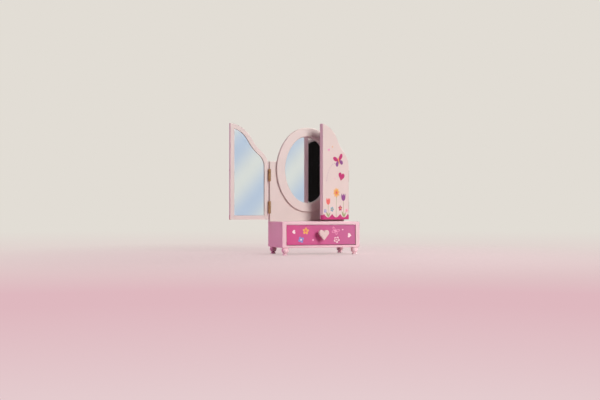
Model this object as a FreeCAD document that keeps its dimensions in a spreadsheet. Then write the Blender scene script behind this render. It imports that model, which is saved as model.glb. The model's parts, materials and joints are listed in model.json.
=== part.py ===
import FreeCAD, Part
import math
import os
from types import SimpleNamespace

import Sketcher

# A three-part dressing mirror with a drawer, in millimetres and degrees.
# X runs to the right, Y to the back and Z up. The origin is on the floor, in the middle of the four feet.

# Driving sizes. Each one is a cell of the sheet, under the same name.
SIZES = {
    # Case
    "case_width": 136.0,
    "case_depth": 80.0,
    "case_height": 43.0,
    "side_thick": 7.0,
    "top_thick": 5.0,
    "bottom_thick": 4.0,
    "back_thick": 5.0,
    "case_round": 1.0,
    # Turned feet
    "foot_height": 12.0,
    "foot_inset": 7.0,
    "foot_pad_radius": 4.2,
    "foot_pad_height": 1.6,
    "foot_neck_radius": 2.6,
    "foot_ball_radius": 5.9,
    "foot_ball_height": 8.2,
    "foot_collar_radius": 4.9,
    "foot_tenon_radius": 2.5,
    "foot_tenon_play": 0.05,
    # Upright panel and its oval mirror
    "panel_thick": 9.0,
    "panel_setback": 1.0,
    "panel_height": 102.0,
    "panel_round": 0.8,
    "oval_height": 143.5,
    "oval_half_width": 57.0,
    "oval_half_height": 72.7,
    "oval_end_radius": 48.0,
    "ring_width": 15.6,
    "ring_proud": 4.0,
    "ring_round": 1.6,
    "arch_inset": 3.0,
    "rebate_width": 4.5,
    "glass_thick": 2.0,
    "glass_play": 0.15,
    "backing_thick": 2.5,
    "panel_screw_radius": 1.5,
    "panel_screw_bite": 14.0,
    "panel_screw_pitch": 45.0,
    "panel_screw_setback": 2.2,
    "panel_screw_head_radius": 2.6,
    "panel_screw_head_height": 1.8,
    # Doors with an ogee top
    "door_thick": 7.0,
    "door_height": 162.0,
    "door_lift": 3.0,
    "meeting_gap": 1.5,
    "crown_radius": 48.0,
    "crown_angle": 6.0,
    "steep_angle": 62.0,
    "waist_radius": 69.0,
    "waist_angle": 39.0,
    "door_round": 0.8,
    "frame_width": 7.0,
    "recess_depth": 4.0,
    "left_open": 178.0,
    "right_open": 27.5,
    # Small knob on the left door
    "latch_height": 83.0,
    "latch_inset": 3.6,
    "latch_radius": 3.0,
    "latch_neck_radius": 1.9,
    "latch_reach": 5.6,
    # Butt hinges
    "hinge_height": 20.0,
    "hinge_end_distance": 23.7,
    "hinge_side_gap": 1.2,
    "knuckle_radius": 2.4,
    "knuckle_gap": 0.25,
    "knuckle_clearance": 0.3,
    "leaf_thick": 0.9,
    "leaf_width": 8.6,
    "pin_radius": 1.0,
    "pin_clearance": 0.05,
    "pin_head_radius": 1.7,
    "pin_head_height": 0.8,
    "pin_head_bevel": 0.4,
    "hinge_screw_radius": 0.8,
    "hinge_screw_bite": 6.0,
    "hinge_screw_reach": 5.8,
    "hinge_screw_pitch": 11.0,
    "hinge_screw_head_radius": 1.4,
    "hinge_screw_head_height": 0.6,
    "hinge_screw_taper": 0.5,
    "hinge_screw_play": 0.05,
    # Drawer
    "drawer_gap": 0.7,
    "drawer_set": 0.8,
    "drawer_front_thick": 7.0,
    "drawer_front_round": 0.6,
    "drawer_side_thick": 5.0,
    "drawer_side_height": 27.0,
    "drawer_back_thick": 5.0,
    "drawer_bottom_thick": 3.0,
    "drawer_bottom_lift": 2.5,
    "drawer_groove": 2.0,
    "drawer_play": 0.5,
    "drawer_running_gap": 0.3,
    # Heart knob and its screw
    "heart_lobe_radius": 4.5,
    "heart_lobe_offset": 4.3,
    "heart_lobe_height": 3.8,
    "heart_flank_angle": 38.0,
    "heart_tip_radius": 1.2,
    "heart_notch_round": 0.5,
    "heart_thick": 5.5,
    "heart_round": 1.0,
    "heart_stem_radius": 3.8,
    "heart_stem_length": 8.0,
    "knob_screw_radius": 1.5,
    "knob_screw_bite": 10.0,
    "knob_screw_head_radius": 3.0,
    "knob_screw_head_height": 2.0,
}

# How near two coordinates are when they count as the same.
NEAR = 1e-4
UP = FreeCAD.Vector(0, 0, 1)

# How a sketch numbers the points of an item, and its own origin and axes.
START, END, CENTRE = 1, 2, 3
ORIGIN, X_AXIS, Y_AXIS = -1, -1, -2


class Dim:
    """A size that carries its number together with the sheet formula that gives it."""

    def __init__(self, value, formula):
        self.value = value
        self.formula = formula

    def __add__(self, other):
        other = as_dim(other)
        return Dim(self.value + other.value, f"({self.formula} + {other.formula})")

    def __sub__(self, other):
        other = as_dim(other)
        return Dim(self.value - other.value, f"({self.formula} - {other.formula})")

    def __mul__(self, other):
        other = as_dim(other)
        return Dim(self.value * other.value, f"({self.formula} * {other.formula})")

    def __truediv__(self, other):
        other = as_dim(other)
        return Dim(self.value / other.value, f"({self.formula} / {other.formula})")

    def __radd__(self, other):
        return as_dim(other) + self

    def __rsub__(self, other):
        return as_dim(other) - self

    def __rmul__(self, other):
        return as_dim(other) * self

    def __neg__(self):
        return as_dim(0) - self


def as_dim(number):
    return number if isinstance(number, Dim) else Dim(float(number), f"({float(number)})")


def sine(angle):
    return Dim(math.sin(math.radians(angle.value)), f"sin({angle.formula})")


def cosine(angle):
    return Dim(math.cos(math.radians(angle.value)), f"cos({angle.formula})")


def root(square):
    return Dim(math.sqrt(square.value), f"sqrt({square.formula})")


# The document, its sheet and the sizes that several pieces share
doc = FreeCAD.newDocument("dressing_mirror")
sheet = doc.addObject("Spreadsheet::Sheet", "Sizes")
for row, (name, number) in enumerate(SIZES.items(), start=1):
    sheet.set(f"A{row}", name)
    sheet.set(f"B{row}", str(number))
    sheet.setAlias(f"B{row}", name)
doc.recompute()

size = SimpleNamespace(**{name: Dim(number, f"Sizes.{name}") for name, number in SIZES.items()})

half_width = size.case_width / 2
half_depth = size.case_depth / 2
case_low = size.foot_height
case_high = size.foot_height + size.case_height
bay_low = case_low + size.bottom_thick
bay_high = case_high - size.top_thick
bay_half_width = half_width - size.side_thick

panel_back = half_depth - size.panel_setback
panel_front = panel_back - size.panel_thick
rebate_depth = size.glass_thick + size.backing_thick

pivot_x = half_width + size.hinge_side_gap
pivot_y = panel_front - size.knuckle_radius
hinge_heights = {
    "lower": case_high + size.hinge_end_distance,
    "upper": case_high + size.panel_height - size.hinge_end_distance,
}
leaf_face = size.hinge_side_gap - size.leaf_thick

door_low = case_high + size.door_lift
door_width = half_width - size.meeting_gap / 2

drawer_face = size.drawer_set - half_depth
drawer_front_back = drawer_face + size.drawer_front_thick
drawer_end = half_depth - size.back_thick - size.drawer_running_gap
drawer_half_width = bay_half_width - size.drawer_play
drawer_low = bay_low + size.drawer_running_gap
drawer_high = drawer_low + size.drawer_side_height
drawer_floor_low = drawer_low + size.drawer_bottom_lift
drawer_floor_high = drawer_floor_low + size.drawer_bottom_thick
drawer_inner_half_width = drawer_half_width - size.drawer_side_thick
drawer_mid_height = (bay_low + bay_high) / 2

# Every finished piece, in the order in which it is made
pieces = []


def bind(thing, prop, dim):
    thing.setExpression(prop, as_dim(dim).formula)


def seat(piece, x=0, y=0, z=0, turn=0):
    """Puts a piece at its place, turned about the upright axis through that place."""
    place = [as_dim(x), as_dim(y), as_dim(z)]
    base = FreeCAD.Vector(*(dim.value for dim in place))
    piece.Placement = FreeCAD.Placement(base, FreeCAD.Rotation(UP, as_dim(turn).value))
    for axis, dim in zip("xyz", place):
        bind(piece, f".Placement.Base.{axis}", dim)
    return piece


def new_body(label):
    body = doc.addObject("PartDesign::Body", label)
    body.Label = label
    pieces.append(body)
    return body


def sketch_on(body, role, offset=0):
    """A sketch on one of the body's own planes, moved along that plane's normal."""
    sketch = body.newObject("Sketcher::SketchObject", f"{body.Label}_sketch")
    plane = next(item for item in body.Origin.OriginFeatures if item.Role == role)
    sketch.AttachmentSupport = [(plane, "")]
    sketch.MapMode = "FlatFace"
    bind(sketch, ".AttachmentOffset.Base.z", offset)
    return sketch


def facing_sketch(body, y):
    """A sketch that looks to the front, with X to the right and Z up, at depth y."""
    return sketch_on(body, "XZ_Plane", -as_dim(y))


def side_sketch(body, x):
    """A sketch that looks to the right, with Y to the right of the sheet and Z up, at place x."""
    return sketch_on(body, "YZ_Plane", x)


def measure(sketch, kind, where, dim):
    index = sketch.addConstraint(Sketcher.Constraint(kind, *where, dim.value))
    sketch.setExpression(f"Constraints[{index}]", dim.formula)


def place_point(sketch, item, point, x, y):
    for kind, axis, dim in (("DistanceX", Y_AXIS, as_dim(x)), ("DistanceY", X_AXIS, as_dim(y))):
        if abs(dim.value) < NEAR:
            sketch.addConstraint(Sketcher.Constraint("PointOnObject", item, point, axis))
        else:
            measure(sketch, kind, (ORIGIN, START, item, point), dim)


def vector(point):
    return FreeCAD.Vector(as_dim(point[0]).value, as_dim(point[1]).value, 0)


def line(end):
    return SimpleNamespace(end=end, centre=None)


def arc(end, centre, radius, left_turn=True):
    return SimpleNamespace(end=end, centre=centre, radius=as_dim(radius), left_turn=left_turn)


def outline(sketch, start, *moves):
    """A closed outline from a start point along lines and arcs, every corner placed by its formula."""
    items = []
    here = start
    for move in moves:
        first, last = START, END
        if move.centre is None:
            shape = Part.LineSegment(vector(here), vector(move.end))
        else:
            middle = vector(move.centre)
            spokes = (vector(here) - middle, vector(move.end) - middle)
            angles = [math.atan2(spoke.y, spoke.x) for spoke in spokes]
            if not move.left_turn:
                angles.reverse()
                first, last = END, START
            shape = Part.ArcOfCircle(Part.Circle(middle, UP, move.radius.value), *angles)
        item = sketch.addGeometry(shape)
        items.append((item, first, last))
        if move.centre is not None:
            measure(sketch, "Radius", (item,), move.radius)
        place_point(sketch, item, first, *here)
        here = move.end
    for (item, _, last), (following, first, _) in zip(items, items[1:] + items[:1]):
        sketch.addConstraint(Sketcher.Constraint("Coincident", item, last, following, first))


def rectangle(sketch, left, right, low, high):
    start = (left, low)
    outline(sketch, start, line((right, low)), line((right, high)), line((left, high)), line(start))


def circle(sketch, x, y, radius):
    radius = as_dim(radius)
    item = sketch.addGeometry(Part.Circle(vector((x, y)), UP, radius.value))
    measure(sketch, "Radius", (item,), radius)
    place_point(sketch, item, CENTRE, x, y)


def pad(body, sketch, length, backwards=False):
    feature = body.newObject("PartDesign::Pad", f"{body.Label}_pad")
    feature.Profile = sketch
    bind(feature, "Length", length)
    feature.Reversed = backwards
    doc.recompute()
    return feature


def pocket(body, sketch, length):
    """A pocket from the sketch towards its back, which has to take something away."""
    before = body.Shape.Volume
    feature = body.newObject("PartDesign::Pocket", f"{body.Label}_pocket")
    feature.Profile = sketch
    bind(feature, "Length", length)
    doc.recompute()
    if body.Shape.Volume > before - NEAR:
        raise RuntimeError(f"{body.Label}: a pocket cuts nothing")
    return feature


def turn(body, sketch):
    """A solid of revolution about the sketch's own upright axis."""
    feature = body.newObject("PartDesign::Revolution", f"{body.Label}_turning")
    feature.Profile = sketch
    feature.ReferenceAxis = (sketch, ["V_Axis"])
    feature.Angle = 360.0
    doc.recompute()
    return feature


def chosen_edges(body, feature, chosen):
    """Names of the edges whose bounding box passes the test."""
    names = [f"Edge{n}" for n, edge in enumerate(feature.Shape.Edges, start=1) if chosen(edge.BoundBox)]
    if not names:
        raise RuntimeError(f"{body.Label}: no edge passes the test")
    return names


def round_edges(body, feature, radius, chosen):
    fillet = body.newObject("PartDesign::Fillet", f"{body.Label}_round")
    fillet.Base = (feature, chosen_edges(body, feature, chosen))
    bind(fillet, "Radius", radius)
    doc.recompute()
    return fillet


def bevel_edges(body, feature, breadth, chosen):
    chamfer = body.newObject("PartDesign::Chamfer", f"{body.Label}_bevel")
    chamfer.Base = (feature, chosen_edges(body, feature, chosen))
    bind(chamfer, "Size", breadth)
    doc.recompute()
    return chamfer


def upright(box):
    return box.XLength < NEAR and box.YLength < NEAR


def near(number, dim):
    return abs(number - dim.value) < NEAR


def board(label, left, right, front, back, low, high):
    """A rectangular board with its pad, for pieces that are worked further."""
    body = new_body(label)
    sketch = sketch_on(body, "XY_Plane", low)
    rectangle(sketch, left, right, front, back)
    return body, pad(body, sketch, high - low)


def plain_board(label, left, right, front, back, low, high):
    box = doc.addObject("Part::Box", label)
    box.Label = label
    bind(box, "Length", right - left)
    bind(box, "Width", back - front)
    bind(box, "Height", high - low)
    pieces.append(box)
    return seat(box, left, front, low)


# Case

def case_boards():
    """Top and bottom run over the full width, the sides and the back stand between them."""
    body, block = board("case_top", -half_width, half_width, -half_depth, half_depth, bay_high, case_high)
    round_edges(body, block, size.case_round, lambda box: box.ZMax > bay_high.value + NEAR)

    body, block = board("case_bottom", -half_width, half_width, -half_depth, half_depth, case_low, bay_low)
    round_edges(body, block, size.case_round, lambda box: box.ZMin < bay_low.value - NEAR)
    sketch = sketch_on(body, "XY_Plane", bay_low)
    for x, y in foot_places().values():
        circle(sketch, x, y, size.foot_tenon_radius + size.foot_tenon_play)
    pocket(body, sketch, size.bottom_thick)

    for label, hand in (("case_left_side", -1), ("case_right_side", 1)):
        walls = sorted((hand * half_width, hand * bay_half_width), key=lambda dim: dim.value)
        body, block = board(label, *walls, -half_depth, half_depth, bay_low, bay_high)
        outer = hand * half_width
        round_edges(body, block, size.case_round, lambda box: upright(box) and near(box.XMin, outer))

    inner_back = half_depth - size.back_thick
    plain_board("case_back", -bay_half_width, bay_half_width, inner_back, half_depth, bay_low, bay_high)


def foot_places():
    x = half_width - size.foot_inset
    y = half_depth - size.foot_inset
    return {"front_left": (-x, -y), "front_right": (x, -y), "back_left": (-x, y), "back_right": (x, y)}


def feet():
    """Each foot is turned in one piece: pad, neck, ball, collar and a tenon through the bottom board."""
    ball = size.foot_ball_radius
    middle = (as_dim(0), size.foot_ball_height)
    neck_top = size.foot_ball_height - root(ball * ball - size.foot_neck_radius * size.foot_neck_radius)
    collar_low = size.foot_ball_height + root(ball * ball - size.foot_collar_radius * size.foot_collar_radius)
    tenon_top = size.foot_height + size.bottom_thick
    for corner, (x, y) in foot_places().items():
        body = new_body(f"foot_{corner}")
        sketch = facing_sketch(body, 0)
        outline(
            sketch,
            (0, 0),
            line((size.foot_pad_radius, 0)),
            line((size.foot_pad_radius, size.foot_pad_height)),
            line((size.foot_neck_radius, neck_top)),
            arc((size.foot_collar_radius, collar_low), middle, ball),
            line((size.foot_collar_radius, size.foot_height)),
            line((size.foot_tenon_radius, size.foot_height)),
            line((size.foot_tenon_radius, tenon_top)),
            line((0, tenon_top)),
            line((0, 0)),
        )
        turn(body, sketch)
        seat(body, x, y, 0)


# Upright panel and oval mirror

def oval(sketch, inset):
    """An oval of four arcs about the mirror's centre, drawn inside the frame's outer edge by the inset."""
    wide, tall, end = size.oval_half_width, size.oval_half_height, size.oval_end_radius
    flank = (tall * tall + wide * wide - 2 * tall * end) / (2 * (wide - end))
    end_offset = tall - end
    flank_offset = flank - wide
    meet_x = (end - inset) * flank_offset / (flank - end)
    meet_z = end_offset + (end - inset) * end_offset / (flank - end)
    middle = size.oval_height
    outline(
        sketch,
        (meet_x, middle + meet_z),
        arc((-meet_x, middle + meet_z), (0, middle + end_offset), end - inset),
        arc((-meet_x, middle - meet_z), (flank_offset, middle), flank - inset),
        arc((meet_x, middle - meet_z), (0, middle - end_offset), end - inset),
        arc((meet_x, middle + meet_z), (-flank_offset, middle), flank - inset),
    )


def oval_plate(label, front, thick, inset):
    body = new_body(label)
    sketch = facing_sketch(body, front + thick)
    oval(sketch, inset)
    return body, pad(body, sketch, thick)


def centre_panel():
    """A shouldered panel with an arch behind the frame, an oval window and a rebate for glass and backing."""
    body = new_body("centre_panel")
    sketch = facing_sketch(body, panel_back)
    rectangle(sketch, -half_width, half_width, case_high, case_high + size.panel_height)
    block = pad(body, sketch, size.panel_thick)
    foot = case_high.value + NEAR
    round_edges(body, block, size.panel_round, lambda box: box.ZMax > foot and box.YLength < NEAR)
    sketch = facing_sketch(body, panel_back)
    oval(sketch, size.arch_inset)
    pad(body, sketch, size.panel_thick)
    sketch = facing_sketch(body, panel_front)
    oval(sketch, size.ring_width)
    pocket(body, sketch, size.panel_thick)
    sketch = facing_sketch(body, panel_back - rebate_depth)
    oval(sketch, size.ring_width - size.rebate_width)
    pocket(body, sketch, rebate_depth)


def oval_frame():
    """The proud frame, glued to the panel's front, with both of its front edges rounded."""
    body = new_body("oval_frame")
    sketch = facing_sketch(body, panel_front)
    oval(sketch, as_dim(0))
    oval(sketch, size.ring_width)
    block = pad(body, sketch, size.ring_proud)
    face = panel_front - size.ring_proud
    round_edges(body, block, size.ring_round, lambda box: near(box.YMax, face))


def mirror_and_backing():
    glass_front = panel_back - rebate_depth
    inset = size.ring_width - size.rebate_width + size.glass_play
    oval_plate("oval_mirror", glass_front, size.glass_thick, inset)
    oval_plate("mirror_backing", glass_front + size.glass_thick, size.backing_thick, inset)


def panel_screws():
    """Three screws from inside the case up into the panel's lower edge, just in front of the case's back."""
    body = new_body("panel_screws")
    row_y = panel_front + size.panel_screw_setback
    shanks = sketch_on(body, "XY_Plane", bay_high)
    heads = sketch_on(body, "XY_Plane", bay_high)
    for step in (-1, 0, 1):
        circle(shanks, step * size.panel_screw_pitch, row_y, size.panel_screw_radius)
        circle(heads, step * size.panel_screw_pitch, row_y, size.panel_screw_head_radius)
    pad(body, shanks, size.top_thick + size.panel_screw_bite)
    pad(body, heads, size.panel_screw_head_height, backwards=True)


# Doors

def door_outline(sketch, hand, inset):
    """A door's outline in its own frame, with the hinge at zero and the free edge on the side of the hand.

    The ogee falls from the free edge through a convex crown, a hollow waist and a convex shoulder to the
    hinge edge. An inset outline keeps the centres of all three arcs.
    """
    near_edge = size.hinge_side_gap
    far_edge = near_edge + door_width
    crown, waist = size.crown_radius, size.waist_radius
    crown_x = far_edge + crown * sine(size.crown_angle)
    crown_z = size.door_height - crown * cosine(size.crown_angle)
    waist_x = crown_x - (crown + waist) * sine(size.steep_angle)
    waist_z = crown_z + (crown + waist) * cosine(size.steep_angle)
    shoulder = (waist_x + waist * sine(size.waist_angle) - near_edge) / (1 - sine(size.waist_angle))
    shoulder_x = near_edge + shoulder
    shoulder_z = waist_z - (waist + shoulder) * cosine(size.waist_angle)

    crown, waist, shoulder = crown - inset, waist + inset, shoulder - inset
    near_edge, far_edge, low = near_edge + inset, far_edge - inset, inset
    crest_z = crown_z + root(crown * crown - (far_edge - crown_x) * (far_edge - crown_x))
    steep_x = crown_x - crown * sine(size.steep_angle)
    steep_z = crown_z + crown * cosine(size.steep_angle)
    hollow_x = waist_x + waist * sine(size.waist_angle)
    hollow_z = waist_z - waist * cosine(size.waist_angle)
    outward = hand > 0
    outline(
        sketch,
        (hand * near_edge, low),
        line((hand * far_edge, low)),
        line((hand * far_edge, crest_z)),
        arc((hand * steep_x, steep_z), (hand * crown_x, crown_z), crown, outward),
        arc((hand * hollow_x, hollow_z), (hand * waist_x, waist_z), waist, not outward),
        arc((hand * near_edge, shoulder_z), (hand * shoulder_x, shoulder_z), shoulder, outward),
        line((hand * near_edge, low)),
    )


def door(side, hand, opening):
    """A door board with a recess in its inner face and the mirror that is glued into it."""
    inner_face = -size.knuckle_radius
    outer_face = inner_face - size.door_thick
    floor = inner_face - size.recess_depth
    place = (-hand * pivot_x, pivot_y, door_low, -hand * opening)

    body = new_body(f"{side}_door")
    sketch = facing_sketch(body, inner_face)
    door_outline(sketch, hand, as_dim(0))
    block = pad(body, sketch, size.door_thick)
    round_edges(body, block, size.door_round, lambda box: near(box.YMax, outer_face))
    sketch = facing_sketch(body, floor)
    door_outline(sketch, hand, size.frame_width)
    pocket(body, sketch, size.recess_depth)
    seat(body, *place)

    glass = new_body(f"{side}_door_mirror")
    sketch = facing_sketch(glass, floor + size.glass_thick)
    door_outline(sketch, hand, size.frame_width + size.glass_play)
    pad(glass, sketch, size.glass_thick)
    seat(glass, *place)


def left_door_knob():
    """A small turned knob on the outer face, close to the free edge."""
    body = new_body("left_door_knob")
    ball = size.latch_radius
    neck = size.latch_neck_radius
    ball_y = ball - size.latch_reach
    neck_y = ball_y + root(ball * ball - neck * neck)
    sketch = sketch_on(body, "XY_Plane")
    outline(
        sketch,
        (0, 0),
        line((0, -size.latch_reach)),
        arc((neck, neck_y), (0, ball_y), ball),
        line((neck, 0)),
        line((0, 0)),
    )
    turn(body, sketch)
    reach_x = size.hinge_side_gap + door_width - size.latch_inset
    reach_y = -size.knuckle_radius - size.door_thick
    sweep = -size.left_open
    x = reach_x * cosine(sweep) - reach_y * sine(sweep) - pivot_x
    y = reach_x * sine(sweep) + reach_y * cosine(sweep) + pivot_y
    seat(body, x, y, door_low + size.latch_height, sweep)


# Hinges

def hinge_leaf(label, hand, facing, cuts):
    """A leaf rolled round the pin, its plate on the board's edge, where it doesn't show from the front.

    Facing is 1 for the panel's leaf and -1 for the door's. Both lie along one line while the door is shut,
    and fold together when it is open.
    """
    tip = size.hinge_height / 2
    radius = size.knuckle_radius
    wood = size.hinge_side_gap
    wood_y = root(radius * radius - wood * wood)
    face_y = root(radius * radius - leaf_face * leaf_face)
    body = new_body(label)
    sketch = sketch_on(body, "XY_Plane", -tip)
    outline(
        sketch,
        (hand * leaf_face, facing * face_y),
        arc((hand * wood, facing * wood_y), (0, 0), radius, hand * facing > 0),
        line((hand * wood, facing * size.leaf_width)),
        line((hand * leaf_face, facing * size.leaf_width)),
        line((hand * leaf_face, facing * face_y)),
    )
    circle(sketch, 0, 0, size.pin_radius + size.pin_clearance)
    pad(body, sketch, size.hinge_height)
    clear = radius + size.knuckle_clearance
    hole = size.hinge_screw_head_radius - size.hinge_screw_taper + size.hinge_screw_play
    sketch = side_sketch(body, clear)
    for low, high in cuts:
        rectangle(sketch, -clear, clear, low, high)
    for step in (-1, 1):
        circle(sketch, facing * size.hinge_screw_reach, step * size.hinge_screw_pitch / 2, hole)
    block = pocket(body, sketch, 2 * clear)
    face = hand * leaf_face
    rim = 2 * hole
    sink = size.hinge_screw_head_height
    bevel_edges(body, block, sink, lambda box: near(box.Center.x, face) and near(box.YLength, rim))
    return body


def hinge_pin(label):
    tip = size.hinge_height / 2
    end = tip + size.pin_head_height
    body = new_body(label)
    sketch = facing_sketch(body, 0)
    outline(
        sketch,
        (0, -end),
        line((size.pin_head_radius, -end)),
        line((size.pin_head_radius, -tip)),
        line((size.pin_radius, -tip)),
        line((size.pin_radius, tip)),
        line((size.pin_head_radius, tip)),
        line((size.pin_head_radius, end)),
        line((0, end)),
        line((0, -end)),
    )
    block = turn(body, sketch)
    bevel = size.pin_head_bevel
    bevel_edges(body, block, bevel, lambda box: near(abs(box.Center.z), end) and box.XLength > NEAR)
    return body


def hinge_screws(label, hand, facing):
    """The four countersunk screws of one side's two leaves, flush with the leaf and driven into the edge."""
    body = new_body(label)
    face = hand * leaf_face
    neck = face + hand * size.hinge_screw_head_height
    heads = side_sketch(body, face)
    shanks = side_sketch(body, neck)
    y = facing * size.hinge_screw_reach
    for height in hinge_heights.values():
        for step in (-1, 1):
            z = height + step * size.hinge_screw_pitch / 2
            circle(heads, y, z, size.hinge_screw_head_radius)
            circle(shanks, y, z, size.hinge_screw_radius)
    block = pad(body, heads, size.hinge_screw_head_height, backwards=hand < 0)
    taper = size.hinge_screw_taper
    bevel_edges(body, block, taper, lambda box: near(box.Center.x, neck) and box.YLength > NEAR)
    pad(body, shanks, size.hinge_screw_bite, backwards=hand < 0)
    return body


def hinges(side, hand, opening):
    """Two hinges. A panel's leaf has the two outer knuckles, a door's leaf the middle one."""
    tip = size.hinge_height / 2
    joint = size.hinge_height / 6
    half_gap = size.knuckle_gap / 2
    beyond = tip + size.knuckle_clearance
    middle_cut = [(-joint - half_gap, joint + half_gap)]
    outer_cuts = [(-beyond, half_gap - joint), (joint - half_gap, beyond)]
    x = -hand * pivot_x
    sweep = -hand * opening
    for level, height in hinge_heights.items():
        stem = f"{side}_{level}_hinge"
        seat(hinge_leaf(f"{stem}_panel_leaf", hand, 1, middle_cut), x, pivot_y, height)
        seat(hinge_leaf(f"{stem}_door_leaf", hand, -1, outer_cuts), x, pivot_y, height, sweep)
        seat(hinge_pin(f"{stem}_pin"), x, pivot_y, height)
    seat(hinge_screws(f"{side}_panel_hinge_screws", hand, 1), x, pivot_y, 0)
    seat(hinge_screws(f"{side}_door_hinge_screws", hand, -1), x, pivot_y, 0, sweep)


# Drawer

def drawer_boards():
    """An inset front and two grooved sides round a floor that slides in under the back."""
    front_half_width = bay_half_width - size.drawer_gap
    front_low = bay_low + size.drawer_gap
    front_high = bay_high - size.drawer_gap
    floor_half_width = drawer_inner_half_width + size.drawer_groove

    edges = (-front_half_width, front_half_width, drawer_face, drawer_front_back, front_low, front_high)
    body, block = board("drawer_front", *edges)
    round_edges(body, block, size.drawer_front_round, lambda box: near(box.YMax, drawer_face))
    groove_start = drawer_front_back - size.drawer_groove
    sketch = facing_sketch(body, groove_start)
    rectangle(sketch, -floor_half_width, floor_half_width, drawer_floor_low, drawer_floor_high)
    pocket(body, sketch, size.drawer_groove)
    sketch = facing_sketch(body, drawer_face)
    circle(sketch, 0, drawer_mid_height, size.knob_screw_radius)
    pocket(body, sketch, size.drawer_front_thick)

    for label, hand in (("drawer_left_side", -1), ("drawer_right_side", 1)):
        outer, inner = hand * drawer_half_width, hand * drawer_inner_half_width
        walls = sorted((outer, inner), key=lambda dim: dim.value)
        body, _ = board(label, *walls, drawer_front_back, drawer_end, drawer_low, drawer_high)
        sketch = facing_sketch(body, drawer_front_back)
        groove = sorted((inner, hand * floor_half_width), key=lambda dim: dim.value)
        rectangle(sketch, *groove, drawer_floor_low, drawer_floor_high)
        pocket(body, sketch, drawer_end - drawer_front_back)

    span = (-drawer_inner_half_width, drawer_inner_half_width)
    back_start = drawer_end - size.drawer_back_thick
    plain_board("drawer_back", *span, back_start, drawer_end, drawer_floor_high, drawer_high)
    floor_span = (-floor_half_width, floor_half_width)
    plain_board("drawer_bottom", *floor_span, groove_start, drawer_end, drawer_floor_low, drawer_floor_high)


def heart_knob():
    """A heart cut from board, with rounded front edges, on a round stem."""
    lobe, offset, flank = size.heart_lobe_radius, size.heart_lobe_offset, size.heart_flank_angle
    lobe_z = drawer_mid_height + size.heart_lobe_height
    notch_z = lobe_z + root(lobe * lobe - offset * offset)
    side_x = offset + lobe * cosine(flank)
    side_z = lobe_z - lobe * sine(flank)
    tip_z = side_z - side_x * cosine(flank) / sine(flank) + size.heart_tip_radius / sine(flank)
    tip_x = size.heart_tip_radius * cosine(flank)
    tip_low = tip_z - size.heart_tip_radius * sine(flank)
    back = drawer_face - size.heart_stem_length
    face = back - size.heart_thick

    body = new_body("heart_knob")
    sketch = facing_sketch(body, back)
    outline(
        sketch,
        (0, notch_z),
        arc((-side_x, side_z), (-offset, lobe_z), lobe),
        line((-tip_x, tip_low)),
        arc((tip_x, tip_low), (0, tip_z), size.heart_tip_radius),
        line((side_x, side_z)),
        arc((0, notch_z), (offset, lobe_z), lobe),
    )
    block = pad(body, sketch, size.heart_thick)
    block = round_edges(
        body,
        block,
        size.heart_notch_round,
        lambda box: near(box.Center.z, notch_z) and box.YLength > NEAR and abs(box.Center.x) < NEAR,
    )
    round_edges(body, block, size.heart_round, lambda box: near(box.YMax, face))
    sketch = facing_sketch(body, drawer_face)
    circle(sketch, 0, drawer_mid_height, size.heart_stem_radius)
    pad(body, sketch, size.heart_stem_length)
    sketch = facing_sketch(body, drawer_face - size.knob_screw_bite)
    circle(sketch, 0, drawer_mid_height, size.knob_screw_radius)
    pocket(body, sketch, size.knob_screw_bite)


def knob_screw():
    """The screw that holds the heart, with its head inside the drawer."""
    body = new_body("knob_screw")
    sketch = facing_sketch(body, drawer_front_back)
    circle(sketch, 0, drawer_mid_height, size.knob_screw_radius)
    pad(body, sketch, size.drawer_front_thick + size.knob_screw_bite)
    sketch = facing_sketch(body, drawer_front_back)
    circle(sketch, 0, drawer_mid_height, size.knob_screw_head_radius)
    pad(body, sketch, size.knob_screw_head_height, backwards=True)


case_boards()
feet()
centre_panel()
oval_frame()
mirror_and_backing()
panel_screws()
for side, hand, opening in (("left", 1, size.left_open), ("right", -1, size.right_open)):
    door(side, hand, opening)
    hinges(side, hand, opening)
left_door_knob()
drawer_boards()
heart_knob()
knob_screw()
doc.recompute()

# Nothing is written unless every object is sound.
for item in doc.Objects:
    if "Invalid" in item.State or "Error" in item.State:
        raise RuntimeError(f"{item.Label} failed: {item.State}")
for piece in pieces:
    if piece.Shape.isNull() or not piece.Shape.isValid():
        raise RuntimeError(f"{piece.Label} has no sound shape")

os.makedirs("parts", exist_ok=True)
for piece in pieces:
    piece.Shape.exportStep(f"parts/{piece.Label}.step")
    print(f"{piece.Label}: {len(piece.Shape.Solids)} solid(s), {piece.Shape.Volume:.1f} cubic mm")
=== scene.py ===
# %% [markdown]
# A painted dressing mirror, dressed in Blender.
#
# The real object is a small piece of toy furniture in sprayed fibreboard: a low case with one drawer on
# turned feet, an upright panel with an oval mirror, and two doors that fold over it like a triptych. The
# CAD model already holds every board, hinge and screw at its true size. This lesson adds what CAD leaves
# out: paint, silvering, brass, wood grain, printed decoration, light and a camera.

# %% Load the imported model
import json
import math

import bpy
from mathutils import Matrix, Vector


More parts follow.
